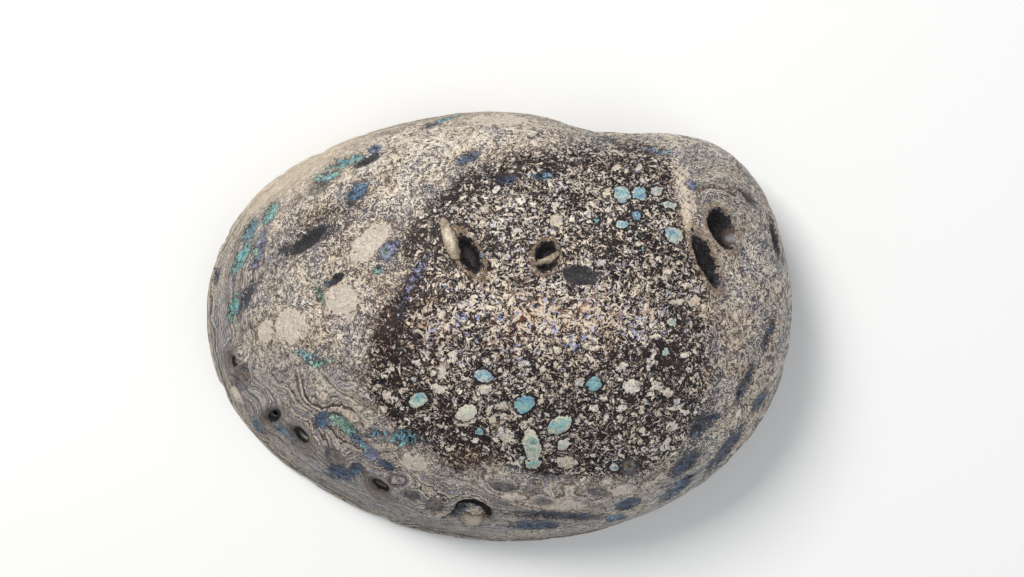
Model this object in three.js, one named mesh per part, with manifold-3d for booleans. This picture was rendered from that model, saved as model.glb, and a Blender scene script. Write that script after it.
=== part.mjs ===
// A large beach-worn abalone shell, lying on its rim with its back up.
// X runs from the growing edge (-X) to the spire (+X), Y towards the inner lip, Z up. Millimetres.
import * as THREE from 'three';
import { mergeVertices } from 'three/addons/utils/BufferGeometryUtils.js';
import Module from 'manifold-3d';

// ---------------------------------------------------------------- driving dimensions
const shellHeight = 45;
const wallThickness = 4.2;
const crestX = 12;             // the highest point of the back, in plan
const crestY = 2;
const roundness = 0.94;        // under 1 makes the back a little fuller than an ellipse
const spireBearing = 25;       // bearings are in degrees from +X, seen from the crest
const tuckUnder = 25;          // how far past upright the back turns in below the spire

// The rim is not quite flat: it touches down in three places, which the sea has ground level.
const rimWave = 0.8;
const wornAway = 0.35;
const firstTouch = 55;

// The lip, underneath. Beside the spire it widens into a ledge that reaches in over the hollow.
const lipWidth = 3.4;
const lipRise = 2.6;           // how far its inner edge rounds up
const ledgeWidth = 13;
const ledgeThickness = 3.2;
const ledgeGrows = [-22, 14];  // the bearings between which the ledge widens, past the spire in a hook
const ledgeFades = [48, 165];
const undercutGrows = [-30, 10];
const undercutFades = [45, 80];
const blendHeight = 5;         // how high above the lip the wall has reached its even thickness

// The outline in plan, anticlockwise from the spire end.
const outlinePoints = [
  [75, 2], [72.5, 23], [65, 39], [56, 46.3], [44, 49.3], [31, 49.6], [23, 50.8], [12, 54.2],
  [-4, 55.4], [-24, 52.9], [-43, 46.6], [-60, 36.4], [-71, 21.5], [-75, 4], [-71, -15.5],
  [-58, -32.6], [-40, -44.6], [-20, -52.6], [4, -55.7], [28, -52.6], [48, -43.4], [63, -30.5],
  [72, -14],
];

// The groove where the last whorl meets the one before it, from the notch in the outline round the apex.
const suturePoints = [
  [21, 52], [31, 46.5], [40, 43], [44.5, 35], [46, 26], [48.5, 18.5], [53, 14.5], [59, 16], [62, 21.5],
  [58, 27],
];
const sutureDepth = 1.5;
const sutureWidth = 2.6;
const grooveRunsOut = 6;       // the height over the rim below which the groove gets shallower

// The breathing pores that are still open: place in plan, length, width, and the bearing of the length.
const openPores = [
  { x: -66.5, y: -8.5, long: 2.2, wide: 1.8, bearing: -70 },
  { x: -56, y: -22.5, long: 3.6, wide: 2.2, bearing: 30 },
  { x: -48.5, y: -27, long: 3.8, wide: 2.4, bearing: -50 },
  { x: -28.5, y: -39.5, long: 3.8, wide: 2.3, bearing: -38 },
];

// The deepest hollows that the sea and boring animals have left in the back.
const hollows = [
  { x: 55, y: 24.5, long: 9, wide: 5.4, deep: 3, bearing: -60 },
  { x: 50.6, y: 17, long: 11, wide: 3, deep: 2.6, bearing: -66 },
  { x: -6, y: 18.5, long: 10, wide: 4.6, deep: 2.8, bearing: -58 },
  { x: 12.5, y: 17.6, long: 7, wide: 5, deep: 2.4, bearing: 75 },
  { x: -5.5, y: -45, long: 9, wide: 2.6, deep: 2.4, bearing: -12 },
];

const turns = 92;              // steps round the shell
const outsideSteps = 20;       // steps from the crest down to the rim
const edgeSteps = 6;           // steps across the rim's underside
const insideSteps = 18;        // steps from the rim up to the roof
const steps = outsideSteps + edgeSteps + insideSteps;

// ---------------------------------------------------------------- the outline, as seen from the crest
const { clamp, degToRad, lerp, smoothstep } = THREE.MathUtils;
const crest = new THREE.Vector2(crestX, crestY);
const outlineCurve = new THREE.CatmullRomCurve3(
  outlinePoints.map(([x, y]) => new THREE.Vector3(x, y, 0)), true, 'centripetal');
const outline = outlineCurve.getPoints(720).slice(0, -1)
  .map((p) => new THREE.Vector2(p.x, p.y).sub(crest))
  .map((arm) => ({ bearing: Math.atan2(arm.y, arm.x), reach: arm.length() }))
  .sort((a, b) => a.bearing - b.bearing);

// The distance from the crest to the outline in one direction.
function girth(bearing) {
  const wrapped = Math.atan2(Math.sin(bearing), Math.cos(bearing));
  let next = outline.findIndex((p) => p.bearing > wrapped);
  if (next < 0) next = 0;
  const after = outline[next];
  const before = outline[(next + outline.length - 1) % outline.length];
  const gap = (after.bearing - before.bearing + 2 * Math.PI) % (2 * Math.PI);
  const along = ((wrapped - before.bearing + 2 * Math.PI) % (2 * Math.PI)) / gap;
  return lerp(before.reach, after.reach, clamp(along, 0, 1));
}

// ---------------------------------------------------------------- one section through the wall
// A bearing in degrees, between -180 and 180.
const inDegrees = (bearing) => THREE.MathUtils.radToDeg(Math.atan2(Math.sin(bearing), Math.cos(bearing)));

// How far the back turns over on its way down: past 90 degrees it tucks in under the spire.
const fullTurn = (bearing) => degToRad(90 + tuckUnder * Math.cos(bearing - degToRad(spireBearing)));
const rimHeight = (bearing) => rimWave * (1 - Math.cos(3 * (bearing - degToRad(firstTouch)))) - wornAway;

// 1 between two bearings, fading to 0 on either side of them.
function between(bearing, grows, fades) {
  const degrees = inDegrees(bearing);
  return smoothstep(degrees, ...grows) * (1 - smoothstep(degrees, ...fades));
}

const lipReach = (bearing) => lipWidth + ledgeWidth * between(bearing, ledgeGrows, ledgeFades);

// One point of an arch from its top (share 0) down to its foot (share 1).
function arch(bearing, share, reach, top, bottom) {
  const last = fullTurn(bearing);
  const turn = last * share;
  const widest = Math.sin(Math.min(last, Math.PI / 2)) ** roundness;
  return {
    out: reach * Math.max(Math.sin(turn), 0) ** roundness / widest,
    up: top - (top - bottom) * (1 - Math.cos(turn)) / (1 - Math.cos(last)),
  };
}

const outsideAt = (bearing, share) => arch(bearing, share, girth(bearing), shellHeight, rimHeight(bearing));

// The lip's underside: level in its outer half, then rounded up to its inner edge.
function edgeAt(bearing, share) {
  const outer = outsideAt(bearing, 1);
  return {
    out: outer.out - lipReach(bearing) * share,
    up: outer.up + lipRise * smoothstep(share, 0.45, 1),
  };
}

// Inside, the wall follows the back at an even thickness until it runs out into the lip. The steps crowd
// together towards the lip, where the wall bends most.
function insideAt(bearing, share) {
  const edge = edgeAt(bearing, 1);
  const crowded = share ** 1.25;
  const roof = shellHeight - wallThickness;
  const base = arch(bearing, 1 - crowded, girth(bearing) - wallThickness, roof, edge.up);
  const undercut = between(bearing, undercutGrows, undercutFades);
  const start = edge.up + ledgeThickness * undercut;
  const lift = blendHeight + 0.6 * lipReach(bearing) * (1 - undercut);
  const pull = 1 - smoothstep(base.up, start, start + lift);
  return { out: lerp(base.out, edge.out, pull), up: base.up };
}

// ---------------------------------------------------------------- the groove of the spire
const suture = new THREE.CatmullRomCurve3(
  suturePoints.map(([x, y]) => new THREE.Vector3(x, y, 0)), false, 'centripetal').getPoints(90);

function grooveAt(x, y) {
  const nearest = Math.min(...suture.map((p) => Math.hypot(p.x - x, p.y - y)));
  return sutureDepth * Math.exp(-((nearest / sutureWidth) ** 2));
}

// ---------------------------------------------------------------- the shell's body
// It starts as a ball. The upper part becomes the back, a ring round its waist becomes the rim, and the
// rest is pushed up into it to become the inside, as a dent turns a ball into a bowl.
function pointOnShell(bearing, row) {
  const isOutside = row <= outsideSteps;
  const isEdge = !isOutside && row <= outsideSteps + edgeSteps;
  const place = isOutside ? outsideAt(bearing, row / outsideSteps)
    : isEdge ? edgeAt(bearing, (row - outsideSteps) / edgeSteps)
      : insideAt(bearing, (row - outsideSteps - edgeSteps) / insideSteps);
  const x = crest.x + place.out * Math.cos(bearing);
  const y = crest.y + place.out * Math.sin(bearing);
  const groove = isOutside ? grooveAt(x, y) * smoothstep(place.up, 0, grooveRunsOut) : 0;
  return new THREE.Vector3(x, y, place.up - groove);
}

function bodyGeometry() {
  const ball = new THREE.SphereGeometry(1, turns, steps);
  ball.deleteAttribute('normal');
  ball.deleteAttribute('uv');
  const place = ball.attributes.position;
  const direction = new THREE.Vector3();
  for (let i = 0; i < place.count; i += 1) {
    direction.fromBufferAttribute(place, i);
    const row = Math.round(Math.acos(clamp(direction.y, -1, 1)) / Math.PI * steps);
    const isPole = row === 0 || row === steps;
    const bearing = isPole ? 0 : Math.atan2(-direction.z, direction.x);
    const point = pointOnShell(bearing, row);
    place.setXYZ(i, point.x, point.y, point.z);
  }
  return mergeVertices(ball, 1e-4);
}

// ---------------------------------------------------------------- joining and cutting
const wasm = await Module();
wasm.setup();

function solidFrom(geometry) {
  const bare = geometry.clone();
  bare.deleteAttribute('normal');
  bare.deleteAttribute('uv');
  const merged = mergeVertices(bare, 1e-4);
  return new wasm.Manifold(new wasm.Mesh({
    numProp: 3,
    vertProperties: new Float32Array(merged.attributes.position.array),
    triVerts: new Uint32Array(merged.index.array),
  }));
}

function geometryFrom(solid) {
  const mesh = solid.getMesh();
  const geometry = new THREE.BufferGeometry();
  geometry.setAttribute('position', new THREE.BufferAttribute(mesh.vertProperties, 3));
  geometry.setIndex(new THREE.BufferAttribute(mesh.triVerts, 1));
  geometry.computeVertexNormals();
  return geometry;
}

// The back's height and outward direction over a place in plan.
function backAt(x, y) {
  const height = (px, py) => {
    const bearing = Math.atan2(py - crestY, px - crestX);
    const out = Math.hypot(px - crestX, py - crestY);
    let low = 0;
    let high = Math.min(1, Math.PI / 2 / fullTurn(bearing));
    for (let i = 0; i < 30; i += 1) {
      const middle = (low + high) / 2;
      if (outsideAt(bearing, middle).out < out) low = middle;
      else high = middle;
    }
    return outsideAt(bearing, low).up;
  };
  const step = 0.5;
  const slopeX = (height(x + step, y) - height(x - step, y)) / (2 * step);
  const slopeY = (height(x, y + step) - height(x, y - step)) / (2 * step);
  return {
    point: new THREE.Vector3(x, y, height(x, y)),
    normal: new THREE.Vector3(-slopeX, -slopeY, 1).normalize(),
  };
}

// A tool is modelled about its own Z axis, and set into the back along the normal there.
function setIntoBack(geometry, { x, y, bearing }) {
  const { point, normal } = backAt(x, y);
  const turn = new THREE.Quaternion().setFromUnitVectors(new THREE.Vector3(0, 0, 1), normal);
  const spin = new THREE.Quaternion().setFromAxisAngle(new THREE.Vector3(0, 0, 1), degToRad(bearing));
  return geometry.applyQuaternion(turn.multiply(spin)).translate(point.x, point.y, point.z);
}

function poreTool(pore) {
  const drill = new THREE.CylinderGeometry(0.5, 0.4, 4 * wallThickness, 12).rotateX(Math.PI / 2);
  return setIntoBack(drill.scale(pore.long, pore.wide, 1), pore);
}

function hollowTool(hollow) {
  const ball = new THREE.SphereGeometry(1, 12, 8).rotateX(Math.PI / 2);
  return setIntoBack(ball.scale(hollow.long / 2, hollow.wide / 2, hollow.deep), hollow);
}

const underFloor = new THREE.BoxGeometry(400, 400, 20).translate(0, 0, -10);

const cutters = [...openPores.map(poreTool), ...hollows.map(hollowTool), underFloor];
const body = solidFrom(bodyGeometry());
const shellSolid = cutters.reduce((solid, tool) => solid.subtract(solidFrom(tool)), body);

// The origin is under the middle of the shell's box, on the surface it lies on.
const shellGeometry = geometryFrom(shellSolid);
shellGeometry.computeBoundingBox();
const middle = shellGeometry.boundingBox.getCenter(new THREE.Vector3());
shellGeometry.translate(-middle.x, -middle.y, -shellGeometry.boundingBox.min.z);

const shell = new THREE.Mesh(
  shellGeometry,
  new THREE.MeshStandardMaterial({ color: 0xb5a48c, roughness: 0.85, metalness: 0 }));
shell.name = 'shell';

const abaloneShell = new THREE.Group();
abaloneShell.add(shell);
export default abaloneShell;
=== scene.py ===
# %% [markdown]
# # An abalone shell, worn by the sea
#
# An abalone grows one shell: a shallow, coiled dome whose last whorl is nearly all of it. The back is a
# chalky crust over layers of nacre. On a beach the sand grinds the crust through, so the back shows three
# skins at once: a dark, speckled old crust on the crown, bare layers in contour lines round the row of
# pores, and blue-green nacre wherever the wear has gone deepest.
#
# The shell is one piece, so the model is one mesh. Its form comes from a few curves, its relief from
# moving points along their normals, and its colours from maps that are stored on the points and sharpened
# by noise in the material.

# %% The frame
import math

import bmesh
import bpy
import numpy as np
from mathutils import Matrix, Vector, kdtree, noise


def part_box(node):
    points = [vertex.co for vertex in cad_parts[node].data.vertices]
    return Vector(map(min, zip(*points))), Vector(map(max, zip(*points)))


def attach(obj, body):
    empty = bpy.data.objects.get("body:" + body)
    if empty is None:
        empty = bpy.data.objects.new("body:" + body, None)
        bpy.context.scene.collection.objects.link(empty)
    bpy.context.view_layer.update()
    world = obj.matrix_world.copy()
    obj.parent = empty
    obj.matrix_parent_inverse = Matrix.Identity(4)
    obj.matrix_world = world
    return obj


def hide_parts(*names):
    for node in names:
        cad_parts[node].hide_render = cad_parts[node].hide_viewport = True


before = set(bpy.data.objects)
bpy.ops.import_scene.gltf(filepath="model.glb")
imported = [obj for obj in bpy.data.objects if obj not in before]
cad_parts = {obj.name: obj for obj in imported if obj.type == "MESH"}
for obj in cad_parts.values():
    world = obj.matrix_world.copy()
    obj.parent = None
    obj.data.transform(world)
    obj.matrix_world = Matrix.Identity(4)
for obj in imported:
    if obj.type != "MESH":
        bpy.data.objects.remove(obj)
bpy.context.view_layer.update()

MM = 0.001
shell_low, shell_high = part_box("shell")
SHELL_SIZE = (shell_high - shell_low) / MM
print(f"the shell is {SHELL_SIZE.x:.1f} x {SHELL_SIZE.y:.1f} x {SHELL_SIZE.z:.1f} mm")

# %% [markdown]
# ## Camera, floor and light
#
# The camera looks straight down from a little under half a metre with a short telephoto lens. The light is
# a soft panel from the upper left, a weaker one from the lower right and a pale sky all round, so that the
# relief reads without hard shadows.

# %% Camera
CAMERA_HEIGHT = 426.5
CAMERA_SIDESTEP = (4.5, 10.2)
FOCAL_LENGTH = 57.6

camera = bpy.data.objects.new("camera", bpy.data.cameras.new("camera"))
camera.data.lens = FOCAL_LENGTH
camera.data.sensor_width = 36
camera.data.clip_start = 0.01
camera.location = Vector((*CAMERA_SIDESTEP, CAMERA_HEIGHT)) * MM
bpy.context.collection.objects.link(camera)
bpy.context.scene.camera = camera
print("the camera looks down from", CAMERA_HEIGHT, "mm")


# %% Light
def soft_panel(name, place, width, watts, colour):
    """A square light panel that faces the shell."""
    panel = bpy.data.objects.new(name, bpy.data.lights.new(name, "AREA"))
    panel.data.size = width
    panel.data.energy = watts
    panel.data.color = colour
    panel.location = place
    panel.rotation_euler = (-Vector(place)).to_track_quat("-Z", "Y").to_euler()
    bpy.context.collection.objects.link(panel)


DAYLIGHT, LAMPLIGHT, SKY_STRENGTH = (0.93, 0.96, 1.0), (1.0, 0.98, 0.95), 0.42
soft_panel("window", (-0.4, 0.5, 0.7), 0.4, 10.0, LAMPLIGHT)
soft_panel("fill", (0.7, -0.35, 0.6), 0.8, 4.0, DAYLIGHT)

sky = bpy.data.worlds.new("sky")
sky.use_nodes = True
background = sky.node_tree.nodes["Background"].inputs
background["Color"].default_value = (*DAYLIGHT, 1)
background["Strength"].default_value = SKY_STRENGTH
bpy.context.scene.world = sky
bpy.context.scene.view_settings.view_transform = "Standard"

# %% [markdown]
# ## The form
#
# The outline in plan is an ear: round at the growing edge, with a notch where the last whorl meets the
# spire. A closed curve through given points gives it. Seen from the crest, each direction has one
# section through the wall: an arch that springs from the rim, tucks in under the spire, and is followed on
# the inside at an even thickness.

# %% The outline in plan
OUTLINE = [
    (75, 2), (72.5, 23), (65, 39), (56, 46.3), (44, 49.3), (31, 49.6), (23, 50.8), (12, 54.2),
    (-4, 55.4), (-24, 52.9), (-43, 46.6), (-60, 36.4), (-71, 21.5), (-75, 4), (-71, -15.5),
    (-58, -32.6), (-40, -44.6), (-20, -52.6), (4, -55.7), (28, -52.6), (48, -43.4), (63, -30.5),
    (72, -14),
]
CREST = np.array([12.0, 2.0])


def smooth_line(points, closed=False, steps=32):
    """A smooth curve through the points, as an array: a centripetal Catmull-Rom spline."""
    p = np.array(points, float)
    if closed:
        p = np.vstack([p[-1], p, p[:2]])
    else:
        p = np.vstack([2 * p[0] - p[1], p, 2 * p[-1] - p[-2]])
    t = np.linspace(0, 1, steps, endpoint=False)[:, None]
    line = []
    for a, b, c, d in zip(p, p[1:], p[2:], p[3:]):
        before, here, after = (math.dist(*pair) ** 0.5 for pair in ((a, b), (b, c), (c, d)))
        leave = ((b - a) / before - (c - a) / (before + here) + (c - b) / here) * here
        arrive = ((c - b) / here - (d - b) / (here + after) + (d - c) / after) * here
        line.append(
            b * (2 * t**3 - 3 * t**2 + 1) + leave * (t**3 - 2 * t**2 + t)
            + c * (3 * t**2 - 2 * t**3) + arrive * (t**3 - t**2)
        )
    return np.vstack(line)


outline = smooth_line(OUTLINE, closed=True)
arms = outline - CREST
arm_bearings = np.arctan2(arms[:, 1], arms[:, 0])
arm_lengths = np.hypot(arms[:, 0], arms[:, 1])


def girth(bearing):
    """How far the outline is from the crest in one direction."""
    return np.interp(bearing, arm_bearings, arm_lengths, period=2 * math.pi)


print("the outline reaches from", outline.min(0).round(1), "to", outline.max(0).round(1))

# %% One section through the wall
HEIGHT = SHELL_SIZE.z
WALL = 4.2
ROUNDNESS = 0.94
SPIRE_BEARING = math.radians(25)
TUCK_UNDER = math.radians(25)
RIM_WAVE, WORN_AWAY, FIRST_TOUCH = 0.8, 0.35, math.radians(55)
LIP_WIDTH, LIP_RISE = 3.4, 2.6
LEDGE_WIDTH, LEDGE_THICKNESS = 13, 3.2
LEDGE_GROWS, LEDGE_FADES = (-22, 14), (48, 165)
UNDERCUT_GROWS, UNDERCUT_FADES = (-30, 10), (45, 80)
BLEND_HEIGHT = 5


def ease(value, start, end):
    """0 before start, 1 after end, and a smooth step between them."""
    share = np.clip((value - start) / (end - start), 0, 1)
    return share * share * (3 - 2 * share)


def between(bearing, grows, fades):
    """1 between two bearings in degrees, fading to 0 on either side of them."""
    degrees = np.degrees(np.arctan2(np.sin(bearing), np.cos(bearing)))
    return ease(degrees, *grows) * (1 - ease(degrees, *fades))


def full_turn(bearing):
    """How far the back turns over on its way down: past upright it tucks in under the spire."""
    return math.pi / 2 + TUCK_UNDER * np.cos(bearing - SPIRE_BEARING)


def rim_height(bearing):
    return RIM_WAVE * (1 - np.cos(3 * (bearing - FIRST_TOUCH))) - WORN_AWAY


def lip_reach(bearing):
    return LIP_WIDTH + LEDGE_WIDTH * between(bearing, LEDGE_GROWS, LEDGE_FADES)


def arch(bearing, share, reach, top, bottom):
    """How far out and how high an arch is, a share of the way from its top down to its foot."""
    last = full_turn(bearing)
    widest = np.sin(np.minimum(last, math.pi / 2)) ** ROUNDNESS
    out = reach * np.maximum(np.sin(last * share), 0) ** ROUNDNESS / widest
    up = top - (top - bottom) * (1 - np.cos(last * share)) / (1 - np.cos(last))
    return out, up


def back_at(bearing, share):
    return arch(bearing, share, girth(bearing), HEIGHT, rim_height(bearing))


def lip_at(bearing, share):
    """The lip's underside: level in its outer half, then rounded up to its inner edge."""
    out, up = back_at(bearing, 1)
    return out - lip_reach(bearing) * share, up + LIP_RISE * ease(share, 0.45, 1)


def inside_at(bearing, share):
    """The inner wall, a share of the way from the roof (0) down to the lip's inner edge (1)."""
    edge_out, edge_up = lip_at(bearing, 1)
    out, up = arch(bearing, share, girth(bearing) - WALL, HEIGHT - WALL, edge_up)
    undercut = between(bearing, UNDERCUT_GROWS, UNDERCUT_FADES)
    start = edge_up + LEDGE_THICKNESS * undercut
    lift = BLEND_HEIGHT + 0.6 * lip_reach(bearing) * (1 - undercut)
    pull = 1 - ease(up, start, start + lift)
    return out + (edge_out - out) * pull, up


rim_heights = rim_height(np.linspace(-math.pi, math.pi, 99)).round(1)
print("the rim lies between", rim_heights.min(), "and", rim_heights.max(), "mm above the floor")

# %% [markdown]
# ## The body
#
# A ball becomes a bowl when it is pushed in from below, and that is how this mesh is made: a cube is cut
# into a fine grid, rounded into a ball with faces of even size and no crowded poles, and each of its points
# is sent to the back, the lip or the inside by how far down the ball it lies. The back gets most of the
# faces, because the wear shows there.

# %% A ball with even faces
GRID = 127
BACK_PART, LIP_PART = 0.64, 0.04

bm = bmesh.new()
bmesh.ops.create_cube(bm, size=2)
bmesh.ops.subdivide_edges(bm, edges=bm.edges[:], cuts=GRID - 1, use_grid_fill=True)
shell_mesh = bpy.data.meshes.new("abalone_shell")
bm.to_mesh(shell_mesh)
bm.free()


def read(rows, name, size=1, kind=int):
    """One property of every row of a mesh's table, as an array."""
    values = np.empty(len(rows) * size, kind)
    rows.foreach_get(name, values)
    return values.reshape(-1, size) if size > 1 else values


def points_of(mesh):
    return read(mesh.vertices, "co", 3, float)


def set_points(mesh, points):
    mesh.vertices.foreach_set("co", points.ravel())
    mesh.update()


angles = points_of(shell_mesh) * math.pi / 4
ball = np.tan(angles)
reach = np.hypot(ball[:, 0], ball[:, 1])
ball /= np.linalg.norm(ball, axis=1)[:, None]
print(f"{len(ball)} points and {len(shell_mesh.polygons)} faces")

# %% Lining the grid up with the lip
# A fold that cuts across the rows of a grid comes out as a saw. So in each column of the ball's sides, the
# point that is nearest to an edge of the lip is moved onto it, and the folds then run along the rows.
LIP_END = BACK_PART + LIP_PART
TINY = 1e-6
row_step = math.pi / 2 / GRID
is_side = np.abs(angles[:, :2]).max(1) > math.pi / 4 - TINY
for edge in (BACK_PART, LIP_END):
    level = 1 - 2 * edge
    waist = math.sqrt(1 - level**2)
    on_edge = is_side & (np.abs(angles[:, 2] - np.arctan(reach * level / waist)) <= row_step / 2)
    ball[on_edge, :2] *= (waist / np.hypot(*ball[on_edge, :2].T))[:, None]
    ball[on_edge, 2] = level
    print(int(on_edge.sum()), "points were moved onto the edge at", round(edge, 2))

# %% From ball to bowl
ARCH_STEPS = np.linspace(0, 1, 200)
EDGE_REACH, SMOOTHING_ROUNDS = 0.01, 4


def share_by_area(section):
    """Turns a share of an arch's area, from its top down, into a share of its turn."""
    out, up = section(np.full(len(ARCH_STEPS), math.pi / 2), ARCH_STEPS)
    strip = np.hypot(np.diff(out), np.diff(up)) * (out[1:] + out[:-1])
    area = np.concatenate([[0], np.cumsum(strip)]) / strip.sum()
    return lambda part: np.interp(part, area, ARCH_STEPS)


bearing = np.arctan2(ball[:, 1], ball[:, 0])
part = (1 - ball[:, 2]) / 2
on_back = part <= BACK_PART + TINY
on_inside = part > LIP_END + TINY
on_lip = ~on_back & ~on_inside
back_share = share_by_area(back_at)(part / BACK_PART)
lip_share = (part - BACK_PART) / LIP_PART
inside_share = share_by_area(inside_at)((1 - part) / (1 - LIP_END))

out, up = np.zeros(len(ball)), np.zeros(len(ball))
for here, section, share in (
        (on_back, back_at, back_share), (on_lip, lip_at, lip_share), (on_inside, inside_at, inside_share)):
    out[here], up[here] = section(bearing[here], share[here])
smooth = np.column_stack([CREST[0] + out * np.cos(bearing), CREST[1] + out * np.sin(bearing), up])

middle = (smooth.min(0) + smooth.max(0))[:2] / 2
smooth[:, 2] = np.maximum(smooth[:, 2], 0)
set_points(shell_mesh, smooth)

# The lip's inner edge is rounded off a little.
bm = bmesh.new()
bm.from_mesh(shell_mesh)
bm.verts.ensure_lookup_table()
inner_edge = [bm.verts[number] for number in np.flatnonzero(np.abs(part - LIP_END) < EDGE_REACH)]
for _ in range(SMOOTHING_ROUNDS):
    bmesh.ops.smooth_vert(
        bm, verts=inner_edge, factor=0.5, use_axis_x=True, use_axis_y=True, use_axis_z=True)
bm.to_mesh(shell_mesh)
bm.free()
smooth = points_of(shell_mesh)
normals = read(shell_mesh.vertex_normals, "vector", 3, float)
print("the smooth shell measures", np.ptp(smooth, axis=0).round(1), "mm, its middle is", middle.round(2))

# %% [markdown]
# ## Where things are on the back
#
# Wear, pores and patches are places on the shell, so each is written down once, in millimetres in
# plan, and turned into a field: a number at every point of the mesh. Most fields say how far inside a mark a
# point lies, so that both the relief and the colours can use them with an edge as soft or sharp as they need.

# %% Helpers for fields
plan = smooth[:, :2]
FAR_OUTSIDE = -9.0
DROP_SHARE = 1.1


def inside_loop(points):
    """How far inside a smooth closed loop each point of the back lies, in mm; negative outside."""
    loop = smooth_line(points, closed=True, steps=8)
    nearest = np.full(len(plan), np.inf)
    is_in = np.zeros(len(plan), bool)
    for a, b in zip(loop, np.roll(loop, -1, axis=0)):
        side = b - a
        along = np.clip((plan - a) @ side / (side @ side), 0, 1)
        nearest = np.minimum(nearest, np.linalg.norm(plan - a - along[:, None] * side, axis=1))
        if a[1] != b[1]:
            crosses = (a[1] > plan[:, 1]) != (b[1] > plan[:, 1])
            is_in ^= crosses & (plan[:, 0] < a[0] + side[0] * (plan[:, 1] - a[1]) / side[1])
    return np.where(on_back, np.where(is_in, nearest, -nearest), FAR_OUTSIDE)


def oval_radius(x, y, half_length, half_width, bearing, is_short=False):
    """The distance from an oval's centre, where 1 is the oval's edge.

    On a steep wall an oval in plan would run a long way down, so a short one is held back in height too: it
    drops no further than a share of its half length.
    """
    turn = math.radians(bearing)
    away = plan - (x, y)
    along = away @ (math.cos(turn), math.sin(turn))
    across = away @ (-math.sin(turn), math.cos(turn))
    radius = np.hypot(along / half_length, across / half_width)
    if not is_short:
        return radius
    centre = np.argmin(np.where(on_back, np.hypot(*away.T), np.inf))
    return np.hypot(radius, (smooth[:, 2] - smooth[centre, 2]) / (DROP_SHARE * half_length))


def inside_ovals(ovals, is_short=False):
    """How far inside the deepest of several ovals each point of the back lies, and which oval that is."""
    depth, which = np.full(len(plan), FAR_OUTSIDE), np.zeros(len(plan), int)
    for number, oval in enumerate(ovals):
        here = (1 - oval_radius(*oval[:5], is_short)) * min(oval[2:4])
        which[here > depth] = number
        depth = np.maximum(depth, here)
    return np.where(on_back, depth, FAR_OUTSIDE), which


def at_floor(points):
    """Points in plan, as points in space."""
    return np.column_stack([points, np.zeros(len(points))])


def tree_of(points, numbers):
    """Finds the nearest of many points by its number."""
    tree = kdtree.KDTree(len(points))
    for point, number in zip(points, numbers):
        tree.insert(point, int(number))
    tree.balance()
    return tree


def from_line(points):
    """The distance in plan from an open curve, and how far along it the nearest place is (0 to 1)."""
    line = smooth_line(points, steps=16)
    tree = tree_of(at_floor(line), range(len(line)))
    found = [tree.find(point) for point in at_floor(plan)]
    along = np.array([number for _, number, _ in found]) / len(line)
    return np.array([distance for _, _, distance in found]), along


def rough(size, seed, octaves=2):
    """Smooth noise between about -1 and 1, whose lumps are `size` mm across."""
    shift = Vector((seed * 17.3, seed * 5.1, seed * 9.7))
    return np.array([noise.fractal(Vector(p) / size + shift, 0.9, 2.1, octaves) for p in smooth])


def blob(x, y, half_length, half_width, bearing=0.0):
    """A soft hill: 1 at the centre of an oval, a third at its edge."""
    return np.exp(-oval_radius(x, y, half_length, half_width, bearing) ** 2)


def hills(*rows):
    """A sum of soft hills: each row is a height, and then what `blob` takes."""
    return sum(height * blob(*oval) for height, *oval in rows)


def ridge(value, crest, width):
    """1 where a field is at its crest, and a third where it is a width off."""
    return np.exp(-((value - crest) / width) ** 2)


def arc_length(section, start, end, steps):
    """The length of an arch in each point's direction, from one share of its turn to another."""
    outs, ups = section(bearing, start + (end - start) * np.linspace(0, 1, steps)[:, None])
    return np.hypot(np.diff(outs, axis=0), np.diff(ups, axis=0)).sum(0)


print("the back has", int(on_back.sum()), "points")

# %% Pores
# x, y, half length, half width, bearing of the length
OPEN_PORES = [
    (-66.5, -8.5, 1.4, 1.1, -70), (-56, -22.5, 2.5, 1.4, 35), (-48.5, -27, 2.6, 1.6, -50),
    (-28.5, -39.5, 2.4, 1.5, -40),
]
SEALED_PORES = [
    (-64, -13, 3.2, 2.4, 70), (-39.5, -32.5, 3.2, 2.3, -60), (-20.5, -41.5, 1.8, 1.3, -20),
    (-14.8, -44.2, 2.3, 1.9, -10), (2.5, -38.3, 2.8, 1.2, -10), (25.5, -39.8, 2.2, 1.1, -5),
    (33, -33.3, 2.3, 2.0, -60), (12, -42.3, 2.3, 0.9, -5),
]
pore_inside, _ = inside_ovals(OPEN_PORES)
sealed_inside, _ = inside_ovals(SEALED_PORES)
print(len(OPEN_PORES), "open pores and", len(SEALED_PORES), "sealed ones")

# %% The crown, the patches and the hollows
CROWN = [
    (-30, -15), (-29.5, -8), (-28, 0), (-24, 8), (-20, 13.5), (-21, 20), (-17, 27), (-10, 31.5), (-5, 35),
    (0, 40), (10, 43), (22, 45.5), (34, 45.8), (43, 42), (43.5, 33), (45.5, 24), (50.5, 12), (51, 2),
    (50.5, -8), (50.5, -17), (47, -23), (43.5, -30), (37, -34), (27, -35.5), (12, -35), (0, -31.5),
    (-10, -33.5), (-15, -28), (-20, -25.5), (-27, -20),
]
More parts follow.
